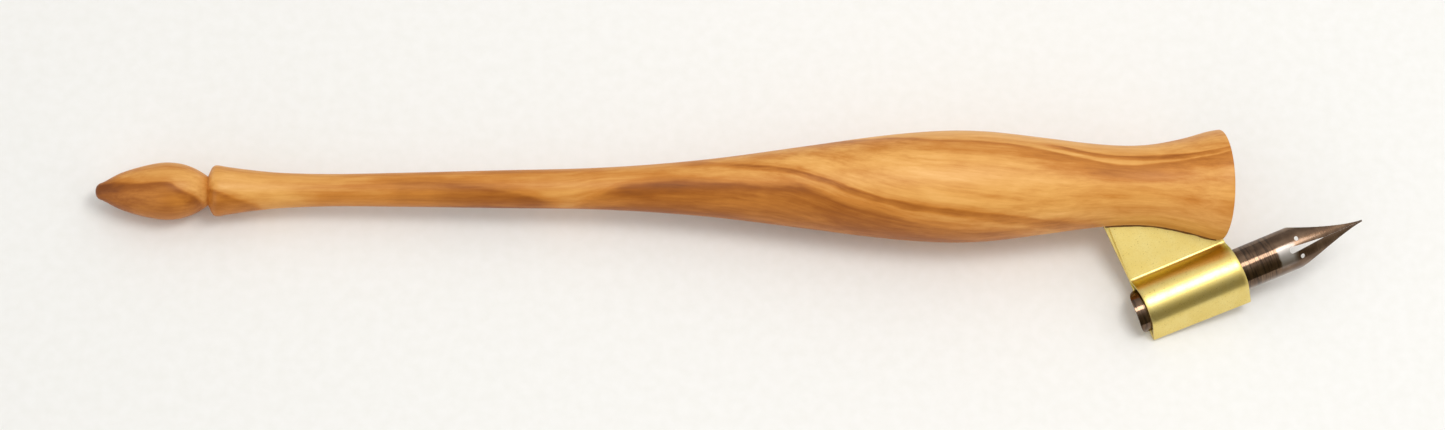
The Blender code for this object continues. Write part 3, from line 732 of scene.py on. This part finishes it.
nib = new_piece("pointed_nib", nib_sheet())
nib.data.materials.append(bronzed_steel())
sheet = nib.modifiers.new("sheet", "SOLIDIFY")
sheet.thickness, sheet.offset, sheet.use_even_offset = NIB_STEEL, 0.0, True
piercings = [slab("vent_punch", vent_outline(), -PUNCH_REACH, PUNCH_REACH)]
for side, name in ((-1, "right_punch"), (1, "left_punch")):
    outline = round_outline(SIDE_HOLE[0], side * SIDE_HOLE[1], SIDE_HOLE_RADIUS)
    piercings.append(slab(name, outline, -PUNCH_REACH, PUNCH_REACH))
cut(nib, *piercings)
settle(nib, barrel, 35)
for punch in piercings:
    bpy.data.objects.remove(punch)
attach(nib, "nib")
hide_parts("nib")


# ---------------------------------------------------------------- table, light and camera
# A sheet of off-white card under one soft box overhead, in a pale room whose near side is dark between its
# lighter ends. The camera looks straight down on the brass web, a little from the tail's side.

FLOOR_HALF = 1.5
CAMERA_YAW = math.radians(7.9)
CAMERA_ROLL = math.radians(0.4)
CAMERA_DISTANCE = 391 * MM
AIM_FROM_FACE = 68.1 * MM
AIM_OFFSET = (-6.3 * MM, 3.22 * MM)
SENSOR_WIDTH = 36.0
LENS = 81.05
NEAR_CLIP = 0.01
TABLE_THICKNESS = 0.01


def pale_card():
    """Smooth white card: matt, with a barely seen tooth."""
    material = bpy.data.materials.new("white_card")
    material.use_nodes = True
    tree = material.node_tree
    shader = tree.nodes["Principled BSDF"]
    place = add_node(tree, "ShaderNodeTexCoord").outputs["Object"]
    tooth = add_node(tree, "ShaderNodeTexNoise", {"Vector": place, "Scale": 700.0, "Detail": 2.0}).outputs[0]
    tint = add_node(tree, "ShaderNodeValToRGB", {"Fac": tooth}, stops=[
        (0.3, colour("#efeeea")), (0.7, colour("#f2f1ee"))]).outputs[0]
    tree.links.new(tint, shader.inputs["Base Color"])
    shader.inputs["Roughness"].default_value = 0.9
    return material


table = slab("table", [(-FLOOR_HALF, -FLOOR_HALF), (FLOOR_HALF, -FLOOR_HALF), (FLOOR_HALF, FLOOR_HALF),
                       (-FLOOR_HALF, FLOOR_HALF)], -TABLE_THICKNESS, 0.0)
table.data.materials.append(pale_card())


def soft_light(name, aim, toward, distance, size, radiance, tint):
    """A soft box at this distance from its aim, as bright as `radiance` times a fully lit white card."""
    lamp = bpy.data.lights.new(name, "AREA")
    lamp.shape, lamp.size, lamp.size_y = "RECTANGLE", *size
    lamp.energy, lamp.color = radiance * math.pi * size[0] * size[1], colour(tint)[:3]
    box = bpy.data.objects.new(name, lamp)
    direction = Vector(toward).normalized()
    box.location = aim + direction * distance
    box.rotation_euler = direction.to_track_quat("Z", "Y").to_euler()
    bpy.context.scene.collection.objects.link(box)


soft_light("overhead", barrel.translation, (0.03, 0.026, 1.0), 0.36, (0.108, 0.173), 7.6, "#fffefc")

world = bpy.data.worlds.new("soft_room")
world.use_nodes = True
room = world.node_tree
look = add_node(room, "ShaderNodeTexCoord").outputs["Generated"]
look = add_node(room, "ShaderNodeSeparateXYZ", {0: look})
toward_back = add_node(room, "ShaderNodeMapRange", {0: look.outputs[1], 1: -1.0, 2: 1.0}).outputs[0]
middle = add_node(room, "ShaderNodeValToRGB", {"Fac": toward_back}, stops=[
    (0.0, 0.34), (0.025, 0.26), (0.07, (0.17, 0.15, 0.09, 1)), (0.16, (0.2, 0.18, 0.12, 1)),
    (0.27, (0.4, 0.38, 0.32, 1)), (0.33, 0.75), (0.37, 0.85), (0.6, 0.85), (0.71, 1.1), (0.8, 1.0),
    (0.88, 0.64), (1.0, 0.55)]).outputs[0]
ends = add_node(room, "ShaderNodeValToRGB", {"Fac": toward_back}, stops=[
    (0.0, 1.4), (0.45, 1.15), (0.6, 0.65), (1.0, 0.5)]).outputs[0]
sideways = add_node(room, "ShaderNodeMapRange", {0: look.outputs[0], 1: -1.0, 2: 1.0}).outputs[0]
sideways = add_node(room, "ShaderNodeValToRGB", {"Fac": sideways}, stops=[
    (0.33, 1.0), (0.47, 0.0), (0.82, 0.0), (0.94, 1.0)]).outputs[0]
shade = add_node(room, "ShaderNodeMix", {"Factor": sideways, 6: middle, 7: ends},
                 data_type="RGBA").outputs[2]
room.links.new(shade, room.nodes["Background"].inputs["Color"])
room.nodes["Background"].inputs["Strength"].default_value = 1.0
bpy.context.scene.world = world
bpy.context.scene.view_settings.view_transform = "Standard"

along_view = Vector((math.sin(CAMERA_YAW), 0, -math.cos(CAMERA_YAW)))
level_right = Vector((math.cos(CAMERA_YAW), 0, math.sin(CAMERA_YAW)))
right = level_right * math.cos(CAMERA_ROLL) - Vector((0, 1, 0)) * math.sin(CAMERA_ROLL)
up = level_right * math.sin(CAMERA_ROLL) + Vector((0, 1, 0)) * math.cos(CAMERA_ROLL)
aim = Vector((-AIM_FROM_FACE, 0, 0))
eye = aim - along_view * CAMERA_DISTANCE - right * AIM_OFFSET[0] - up * AIM_OFFSET[1]
lens = bpy.data.cameras.new("camera")
lens.sensor_width = SENSOR_WIDTH
lens.lens = LENS
lens.clip_start = NEAR_CLIP
camera = bpy.data.objects.new("camera", lens)
turn = Matrix((right, up, -along_view)).transposed().to_4x4()
camera.matrix_world = pen @ Matrix.Translation(eye) @ turn
bpy.context.scene.collection.objects.link(camera)
bpy.context.scene.camera = camera
